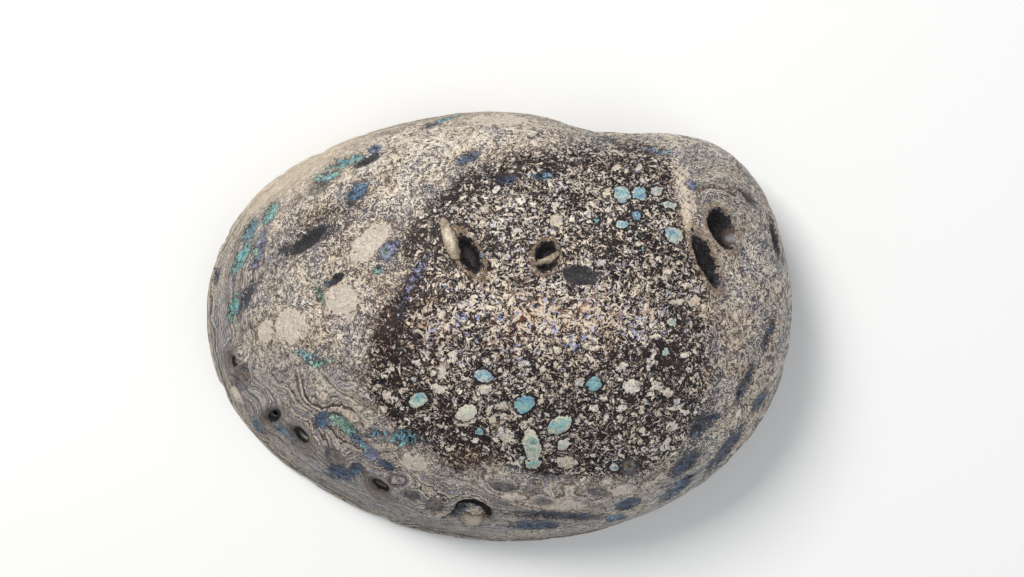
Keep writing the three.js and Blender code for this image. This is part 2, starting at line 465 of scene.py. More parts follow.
# x, y, half length, half width, bearing of the length, depth
HOLLOWS = [
    (-6, 18.5, 5.2, 2.3, -58, 2.6), (12.5, 17.6, 3.6, 2.6, 75, 2.2), (55, 24.5, 5.2, 3.1, -60, 3.0),
    (50.6, 17, 6.4, 2.0, -66, 2.4), (-45.4, 21.9, 5.8, 1.5, 34, 1.5), (20.8, 13.3, 4.6, 2.0, -8, 0.9),
    (-37.5, 12.6, 2.4, 1.1, 32, 1.0), (69.4, 22.5, 4.6, 0.9, 100, 1.2), (-31.5, 42.2, 3.4, 0.9, 25, 0.9),
    (62, 32.3, 2.6, 0.8, -38, 0.7), (-35, 31, 1.3, 1.0, -50, 0.7), (-43.8, 35.6, 2.8, 1.7, 25, 0.6),
    (-49, 32.6, 1.9, 0.8, 45, 0.5), (-51.8, 19.8, 1.6, 0.7, 10, 0.8),
]
CHALK = [
    (-29.5, 21, 7.2, 3.2, 42), (-36.5, 7.5, 5.2, 3.9, -10), (-49.5, 1, 5.5, 4.6, 20),
    (-56.5, -0.5, 3.4, 3, 60), (-19.3, -32.3, 3.9, 2.5, -8), (1, 52.3, 9.5, 2.1, -1),
    (-21.5, 47.2, 4.6, 1.2, 14), (16, -42.8, 9, 1.8, -6), (31, -38.8, 5, 1.5, 10), (5, -40.6, 4, 1.1, 0),
    (40, -36.6, 3.6, 0.9, 32), (-12, -9.5, 2.2, 1.6, 60), (-66, -17, 3, 1.3, -55),
]
SLABS = [(-10.2, 21.8, 5.2, 1.7, -70), (12.5, 17.1, 3.1, 1.1, 25), (-5.6, -48, 3.2, 1.9, -10)]
ARCH = [(-13, -47.3), (-10.4, -46.2), (-9, -44.4), (-6.3, -43.8), (-3.6, -44.5), (-2, -46), (-1.6, -47.8)]
SUTURE = [
    (21, 52), (31, 46.5), (40, 43), (44.5, 35), (46, 26), (48.5, 18.5), (53, 14.5), (59, 16), (62, 21.5),
    (58, 27),
]
crown_inside = inside_loop(CROWN)
hollow_inside, hollow_number = inside_ovals(HOLLOWS, is_short=True)
hollow_depth = np.array([hollow[5] for hollow in HOLLOWS])[hollow_number]
chalk_inside, _ = inside_ovals(CHALK, is_short=True)
slab_inside, _ = inside_ovals(SLABS)
slab_inside += 0.5 * rough(1.7, 23)
arch_distance, arch_along = from_line(ARCH)
suture_distance, _ = from_line(SUTURE)
print("the crown covers", f"{(crown_inside > 0).sum() / on_back.sum():.0%}", "of the back's points")

# %% Windows into the nacre
# x, y, half length, half width, bearing of the length, tint: 0 slate, 0.2 deep blue, 0.4 blue,
# 0.6 turquoise, 0.8 green, 1 lilac
WINDOWS = [
    (-30, 45.2, 2.0, 1.5, -30, 0.3), (-36.8, 42.3, 4.6, 1.3, 15, 0.6), (-41.6, 38.4, 3.1, 1.3, 12, 0.65),
    (-33.2, 34, 3.1, 1.9, 50, 0.35), (-56.8, 29.4, 3.0, 1.6, 65, 0.7), (-62.3, 25, 3.2, 2.2, 42, 0.5),
    (-64.3, 17.6, 4.2, 1.3, 55, 0.65), (-59, 19.5, 4.0, 1.2, 75, 0.95), (-72.4, 13, 1.8, 1.4, 70, 0.15),
    (-66, 5.2, 3.8, 1.2, 62, 0.65), (-62.3, 7.6, 3.6, 1.2, 60, 0.1), (-39.6, 11.6, 1.1, 0.7, 30, 0.3),
    (-24.8, 19, 2.8, 1.9, 40, 0.95), (-27.3, 14.5, 1.1, 0.8, 20, 0.6), (-18, 13.3, 3.6, 1.0, 62, 0.97),
    (-21.4, 6.2, 3.3, 1.1, 72, 0.98), (-42, 8.4, 1.7, 0.8, -60, 0.75), (-42.8, -8, 2.9, 0.7, 6, 0.75),
    (-45, -6.3, 2.2, 0.6, -15, 0.6), (-42.2, -22.4, 2.9, 1.6, 35, 0.3), (-37, -23.2, 4.0, 1.9, -38, 0.8),
    (-33.3, -27, 3.0, 0.9, -40, 0.4), (-28, -25.4, 1.9, 0.9, -10, 0.6), (-21.4, -26, 3.3, 2.1, 15, 0.6),
    (-17.2, -16.4, 2.2, 1.9, 20, 0.62), (-38.5, -36.4, 5.0, 2.0, 8, 0.2), (-34.3, -34.8, 2.4, 1.4, 40, 0.3),
    (-30, -30.4, 2.3, 1.4, -50, 0.97), (3, 36.4, 2.6, 1.3, 2, 0.22), (12, 37.2, 1.6, 0.8, 0, 0.4),
    (-6.2, 42, 2.9, 1.1, 35, 0.18), (-12.2, 53.3, 2.4, 0.9, 10, 0.55), (-16, 51.6, 1.8, 0.8, 10, 0.1),
    (49.7, -23, 3.4, 1.6, 62, 0.12), (46.8, -33, 4.4, 1.9, 48, 0.12), (48.4, -36.6, 0.9, 0.8, 0, 0.3),
    (45.4, -40.2, 5.0, 1.8, 50, 0.2), (57, -30.6, 7.0, 1.4, 57, 0.12), (33.3, -43.4, 3.0, 2.3, 30, 0.25),
    (31, -48, 3.0, 1.6, -20, 0.35), (12, -45.8, 6.4, 1.1, -3, 0.1), (10.5, -49.2, 5.4, 1.6, 0, 0.15),
    (22, -46.8, 4.8, 0.8, -4, 0.1), (62, -11, 2.0, 0.9, 70, 0.08), (60, -14.6, 2.2, 0.7, 72, 0.1),
    (65.8, -17.4, 2.6, 1.1, 55, 0.2), (67, -1, 3.0, 0.7, 65, 0.1), (71.2, 11.5, 4.6, 1.2, 82, 0.08),
    (65, 36, 3.6, 1.0, -42, 0.5), (48, 35, 1.2, 1.0, 0, 0.95), (52.9, -22, 1.8, 1.1, 30, 0.1),
    (25, 50.4, 2.6, 0.8, -12, 0.97), (40, 44.2, 3.0, 0.8, -12, 0.95), (53.3, 11.8, 0.9, 0.7, 0, 0.35),
    (-9, -45.9, 2.6, 0.6, 40, 0.1), (-26, -33.6, 1.9, 1.1, -30, 0.15), (-53, -25.8, 3.8, 1.0, -40, 0.4),
    (-60.3, -25.3, 2.0, 1.3, -50, 0.45),
]
window_inside, window_number = inside_ovals(WINDOWS, is_short=True)
print(len(WINDOWS), "windows")

# %% Islands of crust
# Where the dark crust has been undermined, pebble-like islands stand out of it. The ones that catch the eye
# are listed one by one; small ones are scattered between them, most of them low on the crown. A disc is an
# island with nacre in it: an oval, its tint, and how pale it is.
DISCS = [
    (7.4, -17.3, 2.5, 2.1, 25, 0.58, 0.1), (-2.2, -10.6, 2.2, 1.7, -10, 0.5, 0.52),
    (23.8, -12.4, 1.9, 1.7, 0, 0.6, 0.2), (30.6, 32.8, 2.2, 1.9, 90, 0.52, 0.5),
    (34.8, 33, 1.8, 1.7, 0, 0.5, 0.42), (34, 27.4, 1.3, 1.1, -50, 0.42, 0.1),
    (30.4, 25.3, 1.5, 1.2, 0, 0.62, 0.5), (43, 22.8, 2.4, 2.0, -15, 0.58, 0.65),
    (39, 33.6, 1.5, 1.3, 20, 0.97, 0.6), (9.3, -27.4, 4.4, 2.1, -78, 0.8, 0.7),
    (15.8, -22.3, 3.0, 2.1, 30, 0.68, 0.6), (16.8, -27.2, 1.9, 1.4, 20, 0.6, 0.7),
    (42.2, 2.1, 1.3, 1.1, 0, 0.65, 0.6), (40.7, -4.8, 1.0, 1.0, 0, 0.65, 0.5),
    (24.5, 26, 0.7, 0.6, 0, 0.55, 0.1), (-18.8, -11.4, 0.9, 0.8, 0, 0.97, 0.5),
    (9.6, -32, 1.9, 1.3, 10, 0.65, 0.4), (-3.4, -24.2, 1.1, 0.9, 0, 0.6, 0.3),
    (-2.8, 18, 0.8, 0.7, 0, 0.5, 0.3), (35, 19.3, 0.7, 0.6, 0, 0.6, 0.2),
    (29, -33, 1.3, 1.0, 0, 0.45, 0.5), (-6.3, -19.4, 2.6, 1.9, 40, 0.66, 0.8),
    (42, 30, 2.2, 1.0, -12, 0.5, 0.6), (-18, -16.6, 2.3, 1.8, 20, 0.65, 0.58),
]
PEBBLES = [
    (-13, -13.6, 1.4, 1.2, 0), (-2, -13.6, 2.1, 1.3, 30), (-9.3, -6, 1.6, 1.2, 60),
    (7.5, -7.4, 1.6, 0.9, 10), (20.3, -12, 1.2, 1.0, 30), (32.8, -13, 2.1, 1.7, 10),
    (41.5, -14.8, 1.2, 1.1, 0), (42.8, -23.2, 1.2, 1.1, 0), (38.8, -13.2, 1.5, 0.8, 5),
    (-6.5, -20.4, 2.9, 2.2, 40), (7.8, -22.3, 2.3, 1.1, 25), (3, -25, 2.6, 1.7, -40),
    (2.4, -17.8, 1.5, 1.1, 0), (15, 26.2, 1.7, 1.6, 0), (25.4, 16.2, 1.2, 1.0, 0),
    (41.6, -27, 1.4, 0.9, 40), (5.4, -32.2, 2.0, 1.0, -10), (17.5, -31.6, 2.8, 1.5, 0),
    (37.3, -6.5, 2.8, 0.8, 72), (30, -8.6, 1.9, 0.9, 20), (47.5, 7.2, 1.6, 1.2, 30), (43, 6.9, 2.2, 0.9, 0),
    (-25.5, -15.4, 1.5, 1.0, 40), (-18, -7.4, 1.2, 0.8, 0),
]
TRIES, GAP, HIGH_SHARE = 260, 0.25, 0.35
dice = np.random.default_rng(11)
for _ in range(TRIES):
    x, y = dice.uniform((-28, -34), (49, 44))
    size = dice.uniform(0.4, 1.0)
    stretch = dice.uniform(1, 1.5)
    turned = dice.uniform(20, 80)
    if any(math.dist((x, y), other[:2]) <= size + other[2] + GAP for other in DISCS + PEBBLES):
        continue
    is_low = y < -7 + dice.uniform(-2, 4)
    if is_low or y > 20 and dice.random() < HIGH_SHARE:
        PEBBLES.append((x, y, size * stretch, size, turned))
disc_inside, disc_number = inside_ovals(DISCS)
pebble_inside, _ = inside_ovals(PEBBLES)
pebble_inside[crown_inside < 0.3] = FAR_OUTSIDE
print(len(DISCS), "nacre discs and", len(PEBBLES), "pebbles")

# %% Growth
# The shell grew by adding to its margin, so layers run parallel to it. Round a pore they bend, and the wear
# has cut through them at a slant, which draws them out into contour lines.
from_margin = arc_length(back_at, back_share, 1, 24) * on_back

growth = from_margin + 4.5 * rough(15, 1) + 1.6 * rough(5, 2)
for x, y, half_length, half_width, turned in OPEN_PORES + SEALED_PORES:
    growth += 8 * blob(x, y, half_length + 2.6, half_width + 2.4, turned)
growth += hills(
    (6, -47, -16, 9, 5, -40), (5, -31, -29, 7, 4, -50), (-5, -22, -37.5, 6, 3, -20), (4, -44, -3, 6, 5),
    (5, -56, -12, 4, 6))

# Round the spire's tip the layers coil.
APEX = (55, 25)
from_apex = plan - APEX
apex_distance = np.hypot(*from_apex.T)
coil = apex_distance + 1.6 * np.arctan2(from_apex[:, 1], from_apex[:, 0]) + 3.5 * rough(7, 3)
near_apex = ease(-apex_distance, -24, -12) * on_back
growth = growth * (1 - near_apex) + near_apex * coil
print("the back is up to", from_margin.max().round(), "mm from the margin")

# %% Tones
# How dark the speckle is, how strongly layers show, where the skin is rusty or bluish, and where islands and
# flecks lie. Each row of numbers is a height, x, y, half length, half width and sometimes a bearing.
in_crown = ease(crown_inside, -1.5, 1.5)
darkness = 0.6 + 0.1 * rough(7, 4) + hills(
    (0.2, -20, 21.5, 4, 3.5, 30), (0.14, -24, -8, 7, 11), (0.12, -8, -24, 12, 4), (0.12, 30, -18, 20, 6),
    (0.18, 42, -7, 4, 3), (0.18, -24, 4, 8, 3, 55), (0.22, 33, -33, 3, 3), (0.2, 13, -33, 4, 2),
    (0.05, 18, 40, 24, 4, 5), (-0.22, 13, 3.5, 27, 8), (-0.1, 4, 28, 12, 6), (0.25, -5.5, -31.5, 6.5, 3))

bareness = 0.44 + 0.08 * rough(6, 21) + 0.12 * ridge(crown_inside, 0, 3) + hills(
    (0.14, -6, 34, 11, 5, 25), (0.16, -46, 24, 14, 6, 35), (0.08, -36, 27, 9, 6),
    (-0.3, 45, 34, 12, 2.2, 97), (0.05, 60, 2, 9, 26), (-0.12, 16, -41, 24, 5), (0.12, -41, -6, 5, 4),
    (-0.08, -10, 47, 20, 4))

calm = np.clip(hills((1.4, -49, 43, 26, 6, 34), (0.5, 0, 54, 16, 3)), 0, 1) * on_back
layers = ease(-from_margin, -14, -5) * (1 - in_crown)
layers = np.maximum(layers, 0.95 * np.clip(hills(
    (1, -52, -20, 15, 11, -40), (1, -28, -34, 19, 7, -25), (1, 8, -42, 30, 6.5), (1, -67, 0, 6, 26),
    (0.8, -38, -16, 10, 6, -10), (0.7, -62, 18, 7, 14, 50)), 0, 1))
layers = np.maximum(layers, 0.85 * blob(55, 34, 12, 7, -35)) * (1 - 0.85 * in_crown)
layers = np.clip(layers - 0.7 * ease(chalk_inside, -1, 1), 0, 1)
layers = np.maximum(layers, 0.9 * calm)

rust = 0.22 * ease(-from_margin, -16, -5) * blob(-45, 38, 26, 10, 32) + hills(
    (1.1, -5.5, -31, 6, 2.6, -8), (0.3, -20, 0, 13, 18), (0.6, 9, 4.5, 9, 5), (0.35, 20, 0, 20, 10),
    (0.5, 45.5, 31, 10, 2.6, 98), (0.6, 49, 42, 2.5, 1.6), (0.4, -24, 25.6, 5, 2.5), (0.4, -44, -3, 6, 3),
    (0.35, 58, -6, 6, 8), (0.35, -52, -5, 4, 3), (0.3, 52, 14, 5, 8))

# Bluish round the margins except at the upper left: partly the shell's own blue-grey where the crust is thin,
# partly painted shade and a painted reflection of blue surroundings on the sides away from the light.
cool = np.clip(hills(
    (0.95, -70, 0, 7, 18), (0.4, -60, 20, 9, 14, 50), (0.75, -52, -26, 20, 7, -38),
    (0.8, -30, -44, 24, 4.5, -22), (0.8, 12, -50, 26, 4.5), (0.8, 47, -39, 15, 6, 40), (0.5, 71, 4, 4, 26),
    (0.35, 63, 40, 12, 4, -45), (0.3, -5, 49, 30, 5), (0.4, -55, -14, 6, 7), (0.25, 20, 43, 26, 4, 6),
    (-0.8, -49, 44, 26, 6, 34)), 0, 1)

isles = (0.35 + 0.65 * ease(-plan[:, 1], 6, 12) + 0.25 * blob(30, 30, 18, 12)) * in_crown * on_back
flecks = 0.3 * in_crown + hills((0.6, 4, 3, 18, 9), (0.35, 30, 2, 16, 12), (0.3, -18, 10, 6, 10))
print(f"darkness runs from {darkness[on_back].min():.2f} to {darkness[on_back].max():.2f}")

# %% [markdown]
# ## Relief
#
# The same fields push the surface in and out along its normals: shallow waves, worn terraces, collars round
# the pores, hollows with steep walls, sunken windows, raised pebbles and the groove of the spire. The rim is
# chipped. Nothing may leave the box of the solid part, so nearly all of it is cut inwards.

# %% Pushing the surface along its normals
TERRACE_STEP, RIB_STEP, DEEPEST = 2.6, 6.5, -3.0

lift = -0.35 + 0.3 * rough(22, 5) + 0.1 * rough(4, 6)
terrace = growth / TERRACE_STEP % 1
lift += 0.2 * layers * (terrace - ease(terrace, 0.82, 1.0))
lift += in_crown * (0.10 * rough(1.5, 7, 1) - 0.12)

for inside in (pore_inside, sealed_inside):
    lift += 0.5 * ridge(inside, -1.3, 1.1)
lift -= 1.0 * ease(pore_inside, -1.0, 0.4) + 0.75 * ease(sealed_inside, -0.6, 0.9)

hollow_edge = hollow_inside + 0.35 * rough(3, 8)
lift -= hollow_depth * ease(hollow_edge, -0.35, 1.1)
lift += 0.35 * ridge(hollow_edge, -0.6, 0.6) * (hollow_depth > 2)
lift += 0.9 * ease(slab_inside, -0.3, 0.5) * ease(-lift, 0.3, 1.2) + 0.35 * ease(slab_inside, -0.3, 0.9)
arch_width = 0.55 + 0.6 * ease(arch_along, 0.25, 0.5)
lift -= 2.0 * ease(-arch_distance, -1.9 * arch_width, -0.5 * arch_width) * on_back * ease(arch_along, 0, 0.35)

lift -= 0.55 * ease(window_inside + 0.4 * rough(2.5, 9), -0.15, 0.5)
lift += 0.22 * ease(disc_inside, -0.1, 1.0) - 0.12 * ridge(disc_inside, -0.35, 0.3)
lift += 0.14 * ease(pebble_inside, -0.1, 0.5) + 0.12 * ease(chalk_inside, -0.3, 0.5)

ribs = np.sin(2 * math.pi * growth / RIB_STEP) * ease(-from_margin, -26, -14) * (1 - in_crown)
lift += 0.22 * ribs
lift = np.maximum(lift, DEEPEST)
lift[~on_back] = 0
edge_fade = ease(from_margin, 0.2, 2.2)
shaped = smooth + normals * (lift * edge_fade)[:, None]

groove = 1.1 * ridge(suture_distance, 0, 2.6) * ease(smooth[:, 2], 0, 6) * on_back
groove *= 1 - ease(-lift, 1.2, 2.2)
shaped[:, 2] -= groove
print(f"the relief goes from {lift[on_back].min():.1f} to {lift[on_back].max():.1f} mm")

# %% The chipped rim and the inside
chip = np.maximum(rough(5, 12) + 0.5 * rough(1.8, 13) - 0.1, 0) ** 1.2
at_rim = ridge(from_margin, 0, 2.6) * on_back + on_lip * (1 - lip_share)
away = np.column_stack([np.cos(bearing), np.sin(bearing)])
shaped[:, :2] -= away * (0.9 * chip * at_rim)[:, None]

MUSCLE_SCAR = (8, 2, 17, 14, 20)
scar = oval_radius(*MUSCLE_SCAR)
inside_lift = 0.25 * rough(14, 14) + 0.35 * ease(-scar, -1.15, -0.95) - 0.1
inside_lift *= ease(inside_share, 0, 0.1) * (1 - ease(inside_share, 0.75, 0.95))
shaped -= normals * (np.maximum(inside_lift, 0) * on_inside)[:, None]

limit = np.array(SHELL_SIZE.xy) / 2
shaped[:, :2] = np.clip(shaped[:, :2] - middle, -limit, limit) + middle
shaped[:, 2] = np.clip(shaped[:, 2], 0, HEIGHT)
highest = shaped[:, 2].max()
shaped[:, 2] *= 1 + ease(shaped[:, 2], 0.3 * HEIGHT, HEIGHT) * (HEIGHT / highest - 1)
set_points(shell_mesh, shaped)
print("after the relief the shell measures", np.ptp(shaped, axis=0).round(2), "mm")

# %% [markdown]
# ## Open pores
#
# The animal breathes through the last few pores, so they go right through the wall. Each is drilled along
# the surface's normal with an oval, slightly tapered drill.

# %% Drills
shell = bpy.data.objects.new("abalone_shell", shell_mesh)
bpy.context.collection.objects.link(shell)

back_numbers = np.flatnonzero(on_back & (back_share < 0.95))
back_tree = tree_of(at_floor(plan[back_numbers]), back_numbers)

DRILL_SIDES, DRILL_TAPER, DRILL_SHARE = 28, 0.72, 0.76
drill_mesh = bpy.data.meshes.new("drills")
pore_frames = []
bm = bmesh.new()
for x, y, half_length, half_width, turned in OPEN_PORES:
    _, number, _ = back_tree.find((x, y, 0))
    axis = Vector(normals[number])
    lengthwise = Vector((math.cos(math.radians(turned)), math.sin(math.radians(turned)), 0))
    lengthwise = (lengthwise - axis * axis.dot(lengthwise)).normalized()
    frame_of_pore = Matrix((lengthwise, axis.cross(lengthwise), axis)).transposed().to_4x4()
    frame_of_pore.translation = Vector(smooth[number])
    pore_frames.append(frame_of_pore)
    drill = bmesh.ops.create_cone(
        bm, cap_ends=True, segments=DRILL_SIDES, radius1=DRILL_TAPER, radius2=1, depth=4 * WALL)
    bmesh.ops.transform(bm, verts=drill["verts"], matrix=frame_of_pore @ Matrix.Diagonal(
        (half_length * DRILL_SHARE, half_width * DRILL_SHARE, 1, 1)))
bm.to_mesh(drill_mesh)
bm.free()
drills = bpy.data.objects.new("drills", drill_mesh)
bpy.context.collection.objects.link(drills)

cut = shell.modifiers.new("drill the pores", "BOOLEAN")
cut.operation = "DIFFERENCE"
cut.solver = "EXACT"
cut.object = drills
ready = shell.evaluated_get(bpy.context.evaluated_depsgraph_get())
shell_mesh = bpy.data.meshes.new_from_object(ready)
shell.modifiers.remove(cut)
shell.data = shell_mesh
bpy.data.objects.remove(drills)
shell_mesh.name = "abalone_shell"

# %% Tidying the drilled edges
# The cut leaves points that almost coincide, and points that only split an edge. Two neighbouring faces can
# turn such a point into the same flat triangle, so both kinds are taken out.
NEARLY_SAME = 0.02
bm = bmesh.new()
bm.from_mesh(shell_mesh)
bmesh.ops.remove_doubles(bm, verts=bm.verts[:], dist=NEARLY_SAME)
splitters = [point for point in bm.verts if len(point.link_edges) == 2]
bmesh.ops.dissolve_verts(bm, verts=splitters)
open_edges = sum(len(edge.link_faces) != 2 for edge in bm.edges)
bm.to_mesh(shell_mesh)
bm.free()
print(len(splitters), "splitting points dissolved;", open_edges, "edges are not shared by two faces")
triangles = sum(len(face.vertices) - 2 for face in shell_mesh.polygons)
print(len(shell_mesh.vertices), "points and", triangles, "triangles after drilling")

# %% Which point of the form each point of the mesh came from
drilled = points_of(shell_mesh)
form_tree = tree_of(shaped, range(len(shaped)))
source = np.array([form_tree.find(point)[1] for point in drilled])

in_bore = np.zeros(len(drilled))
bore_places = np.zeros((len(drilled), 3))
for number, ((_, _, half_length, half_width, _), placed) in enumerate(zip(OPEN_PORES, pore_frames), 1):
    local = np.array(placed.inverted()) @ np.column_stack([drilled, np.ones(len(drilled))]).T
    bore_radius = np.hypot(local[0] / half_length, local[1] / half_width) / DRILL_SHARE
    near = (bore_radius < 1.02) & (np.abs(local[2]) < 1.6 * WALL)
    in_bore[near] = number
    bore_places[near] = local[:3, near].T
print(int((in_bore > 0).sum()), "points lie in the bores")

# %% [markdown]
# ## Laying the surface flat
#
# The back is laid out like a fan round the crest, at its true length from crest to rim, and the inside and
# lip like a second, smaller fan. The bores lie in the holes that they leave in the first one.

# %% The flat map
MAP_EDGE, BACK_WIDTH, MAP_STEPS = 0.006, 0.72, 60


def fan(lengths):
    """Places in the flat map, in mm: a distance from the centre in each point's own direction."""
    return np.column_stack([lengths * np.cos(bearing), lengths * np.sin(bearing)])


back_map = fan(arc_length(back_at, 0, np.where(on_back, back_share, 1), MAP_STEPS))
inside_length = arc_length(inside_at, 0, np.where(on_inside, inside_share, 1), MAP_STEPS)
lip_length = lip_reach(bearing) * (1 - np.where(on_back, 0, np.where(on_lip, lip_share, 1)))
inside_map = fan(inside_length + lip_length) * (-1, 1)

back_scale = BACK_WIDTH / np.ptp(back_map[:, 0])
back_places = (back_map - back_map.min(0)) * back_scale + MAP_EDGE
strip_start = back_places[:, 1].max() + 2 * MAP_EDGE
inside_scale = (1 - MAP_EDGE - strip_start) / np.ptp(inside_map[:, 1])
inside_places = (inside_map - inside_map.min(0)) * inside_scale
inside_places += (1 - MAP_EDGE - inside_places[:, 0].max(), strip_start)

face_start = read(shell_mesh.polygons, "loop_start")
face_count = read(shell_mesh.polygons, "loop_total")
corner_point = read(shell_mesh.loops, "vertex_index")
corner_face = np.repeat(np.arange(len(face_start)), face_count)
is_back = np.add.reduceat(on_back[source[corner_point]].astype(int), face_start) == face_count
is_bore = np.minimum.reduceat(in_bore[corner_point], face_start) > 0
flat_places = np.where(is_back[corner_face][:, None], back_places[source[corner_point]],
                       inside_places[source[corner_point]])

# A bore is drawn as rings, narrower the deeper they lie.
for number, (x, y, *_) in enumerate(OPEN_PORES, 1):
    _, centre, _ = back_tree.find((x, y, 0))
    here = is_bore[corner_face] & (in_bore[corner_point] == number)
    local = bore_places[corner_point[here]]
    narrowing = 0.8 - 0.1 * np.clip(1 - local[:, 2], 0, 6)[:, None]
    flat_places[here] = back_places[centre] + local[:, :2] * narrowing * back_scale
flat_map = shell_mesh.uv_layers.new(name="OFBake")
flat_map.data.foreach_set("uv", flat_places.ravel())
print("the flat map spans", np.ptp(flat_places, axis=0).round(2), "and draws the back",
      (back_scale / inside_scale).round(1), "times as large as the inside")

# %% The fields, kept on the mesh
def keep(**fields):
    """Stores fields on the mesh, for the material to read."""
    for name, values in fields.items():
        layer = shell_mesh.attributes.new(name, "FLOAT", "POINT")
        layer.data.foreach_set("value", values[source].astype(np.float32))


def column(table, numbers, place):
    """What each point's own row of a table says at one place."""
    return np.array([row[place] for row in table])[numbers]


# A painted highlight: where light catches the pale nacre on the lower right wall of the spire's hollow.
PAINTED_GLINT = (58.2, 22.4, 2.6, 1.7, -60)
keep(
    growth=growth, crown=crown_inside, inner_dark=darkness, outer_dark=bareness, layers=layers * on_back,
    rust=np.clip(rust, 0, 1) * on_back, calm=calm, isles=isles, cool=cool * on_back,
    flecks=flecks * on_back, chalk=chalk_inside, slab=slab_inside,
    window=window_inside, window_tint=column(WINDOWS, window_number, 5),
    disc=disc_inside, disc_tint=column(DISCS, disc_number, 5), disc_pale=column(DISCS, disc_number, 6),
    pebble=pebble_inside, sealed=sealed_inside, pore=pore_inside, hollow=hollow_edge,
    hollow_depth=hollow_depth, glint=1.2 * blob(*PAINTED_GLINT) * on_back,
    arch=np.where(on_back, arch_width - arch_distance, FAR_OUTSIDE), margin=from_margin,
    lining=on_inside + on_lip * lip_share, inside_growth=inside_share * 60 + 4 * rough(12, 20),
    scar=(1 - scar) * on_inside)

set_points(shell_mesh, (drilled - (*middle, 0)) * MM)
shell_mesh.polygons.foreach_set("use_smooth", np.ones(len(shell_mesh.polygons), bool))
print(len(shell_mesh.attributes), "layers on the mesh")

# %% [markdown]
# ## The finish
#
# One material covers the whole shell, because its skins run into each other. Formulas make it readable: a
# field read from the mesh is perturbed with noise and then cut off sharply, so that a mark whose place is
# known to half a millimetre still gets an edge as ragged as a worn one.

# %% Formulas for the material
crust = bpy.data.materials.new("shell_crust")
crust.use_nodes = True
tree = crust.node_tree


def node(kind, settings, inputs):
    """Adds a node: its type, its settings, then its inputs by name or number."""
    made = tree.nodes.new(kind)
    for name, value in settings.items():
        setattr(made, name, value)
    for name, value in inputs.items():
        if isinstance(value, Field):
            tree.links.new(value.socket, made.inputs[name])
        else:
            made.inputs[name].default_value = value
    return made


class Field:
    """A number or a vector that varies over the surface; sums and products of fields are fields."""

    def __init__(self, socket):
        self.socket = socket

    def combine(self, operation, a, b):
        if self.socket.type == "VALUE" and not any(
                isinstance(v, Field) and v.socket.type != "VALUE" for v in (a, b)):
            return Field(node("ShaderNodeMath", {"operation": operation}, {0: a, 1: b}).outputs[0])
        a, b = (v if isinstance(v, (Field, tuple)) else (v, v, v) for v in (a, b))
        return Field(node("ShaderNodeVectorMath", {"operation": operation}, {0: a, 1: b}).outputs[0])

    def __add__(self, other):
        return self.combine("ADD", self, other)

    def __radd__(self, other):
        return self.combine("ADD", other, self)

    def __sub__(self, other):
        return self.combine("SUBTRACT", self, other)

    def __rsub__(self, other):
        return self.combine("SUBTRACT", other, self)

    def __mul__(self, other):
        return self.combine("MULTIPLY", self, other)

    def __rmul__(self, other):
        return self.combine("MULTIPLY", other, self)

    def __abs__(self):
        return self.combine("ABSOLUTE", self, 0.0)


def rise(value, low, high):
    """0 below low, 1 above high, with a smooth edge between."""
    made = node("ShaderNodeMapRange", {"interpolation_type": "SMOOTHSTEP"},
                {"Value": value, "From Min": low, "From Max": high})
    return Field(made.outputs["Result"])


def line_at(value, low, high):
    """1 on the line where the value is 0, and 0 away from it."""
    return 1 - rise(abs(value), low, high)


def grain_of(place, per_mm, detail=2.0, roughness=0.5, distortion=0.0):
    """Smooth noise in space, about 0.5 on average."""
    made = node("ShaderNodeTexNoise", {}, {"Vector": place, "Scale": per_mm, "Detail": detail,
                                           "Roughness": roughness, "Distortion": distortion})
    return Field(made.outputs["Fac"])


def bands_of(value, per_mm, detail=2.0, roughness=0.5):
    """Noise that varies with one number only, so it draws bands."""
    made = node("ShaderNodeTexNoise", {"noise_dimensions": "1D"},
                {"W": value, "Scale": per_mm, "Detail": detail, "Roughness": roughness})
    return Field(made.outputs["Fac"])


def kept(name):
    """A field that was stored on the mesh."""
    return Field(node("ShaderNodeAttribute", {"attribute_name": name}, {}).outputs["Fac"])


def colour(red, green, blue):
    """A colour as the eye reads it, 0 to 255, turned into amounts of light."""
    return tuple((c / 255 / 12.92) if c < 11 else ((c / 255 + 0.055) / 1.055) ** 2.4
                 for c in (red, green, blue)) + (1.0,)


def blend(share, a, b, mode="MIX"):
    """Colour a where share is 0, and b where it is 1."""
    made = node("ShaderNodeMix", {"data_type": "RGBA", "blend_type": mode}, {0: share, 6: a, 7: b})
    return Field(made.outputs[2])


def ramp(value, *stops):
    """Colours along a scale: each stop is a place from 0 to 1 and a colour."""
    made = node("ShaderNodeValToRGB", {}, {"Fac": value})
    elements = made.color_ramp.elements
    while len(elements) < len(stops):
        elements.new(1.0)
    for element, (position, tone) in zip(elements, stops):
        element.position = position
        element.color = tone
    return Field(made.outputs["Color"])


print("the formulas are ready")

# %% Noise that several finishes share
place = Field(node("ShaderNodeTexCoord", {}, {}).outputs["Object"]) * 1000
stir = Field(node("ShaderNodeTexNoise", {}, {"Vector": place, "Scale": 0.4, "Detail": 1.0}).outputs["Color"])
stirred = place + (stir - 0.5) * 2.2
lumps = (grain_of(place, 0.13, 2) - 0.5) * 5
ragged = (grain_of(place, 0.8, 3, 0.62) - 0.5) * 6
coarse_isles = (grain_of(stirred, 0.52, 1, 0.5, 0.3) - 0.5) * 6
coarse = (grain_of(stirred, 0.62, 2, 0.55, 0.8) - 0.5) * 5
medium = (grain_of(stirred, 1.25, 2, 0.6, 1.1) - 0.5) * 5
fine = (grain_of(stirred, 2.3, 2, 0.6, 0.8) - 0.5) * 5
dust = (grain_of(place, 4.2, 1, 0.6) - 0.5) * 5
worms = 1 - abs(grain_of(stirred, 1.1, 1, 0.5, 1.8) - 0.5) * 12
crystals = node("ShaderNodeTexVoronoi", {}, {"Vector": stirred, "Scale": 1.15})
chance = Field(node("ShaderNodeSeparateColor", {}, {0: Field(crystals.outputs["Color"])}).outputs[0])

